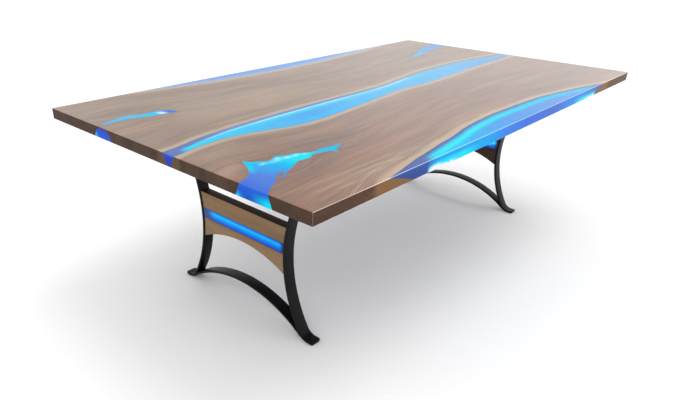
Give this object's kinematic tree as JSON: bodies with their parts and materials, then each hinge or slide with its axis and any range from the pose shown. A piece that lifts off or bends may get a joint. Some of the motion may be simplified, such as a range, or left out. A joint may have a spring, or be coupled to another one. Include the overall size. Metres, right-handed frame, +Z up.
{
  "type": "river table",
  "caption": "Rectangular dining table: walnut slabs with live edges, lit blue resin rivers and fills between them, on bent black flat-bar leg frames with resin-banded panels.",
  "frame": {"origin": "on the floor, under the middle of the top", "axes": "+X along the length, towards the end with the small void in the rear slab; +Y across, towards the rear long edge; +Z up"},
  "size_m": [2.42, 1.335, 0.762],
  "materials": {
    "walnut_top": "satin oil",
    "walnut_leg": "satin oil",
    "blue_resin": "polished, lit from below",
    "black_steel": "satin black",
    "light_strip": "glowing diffuser",
    "zinc_steel": "bright zinc",
    "brass": "turned",
    "felt": "felt",
    "board": "solder mask",
    "rocker": "gloss black",
    "lead_jacket": "soft black",
    "black_plastic": "fine texture"
  },
  "bodies": {
    "table": {"driver_board": "board", "driver_case": "black_plastic", "driver_case_screws": "zinc_steel", "driver_lid": "black_plastic", "driver_lid_screws": "zinc_steel", "eye_fill": "blue_resin", "far_void_fill": "blue_resin", "foot_pads": "felt", "knot_fill": "blue_resin", "lead_clips": "black_plastic", "light_strip_eye": "light_strip", "light_strip_far": "light_strip", "light_strip_front_edge": "light_strip", "light_strip_knot": "light_strip", "light_strip_middle": "light_strip", "light_strip_rear_edge": "light_strip", "mounting_plate_far": "black_steel", "mounting_plate_near": "black_steel", "panel_apron_far": "walnut_leg", "panel_apron_near": "walnut_leg", "panel_leads": "lead_jacket", "panel_light_far": "light_strip", "panel_light_near": "light_strip", "panel_rail_far": "walnut_leg", "panel_rail_near": "walnut_leg", "panel_resin_far": "blue_resin", "panel_resin_near": "blue_resin", "panel_studs": "zinc_steel", "plate_bolts": "zinc_steel", "plate_washers": "zinc_steel", "power_inlet": "black_plastic", "river_front_edge": "blue_resin", "river_middle": "blue_resin", "river_rear_edge": "blue_resin", "rocker_bezel": "black_plastic", "slab_front": "walnut_top", "slab_rear": "walnut_top", "stretcher_far": "black_steel", "stretcher_near": "black_steel", "strip_leads": "lead_jacket", "threaded_inserts": "brass", "upright_far_left": "black_steel", "upright_far_right": "black_steel", "upright_near_left": "black_steel", "upright_near_right": "black_steel"},
    "rocker": {"rocker_switch": "rocker"}
  },
  "joints": [
    {"name": "rocker_pivot", "type": "hinge", "parent": "table", "child": "rocker", "pos_m": [0.07, -0.285, 0.69], "axis": [0, 1, 0], "range_deg": [0, 16]}
  ]
}
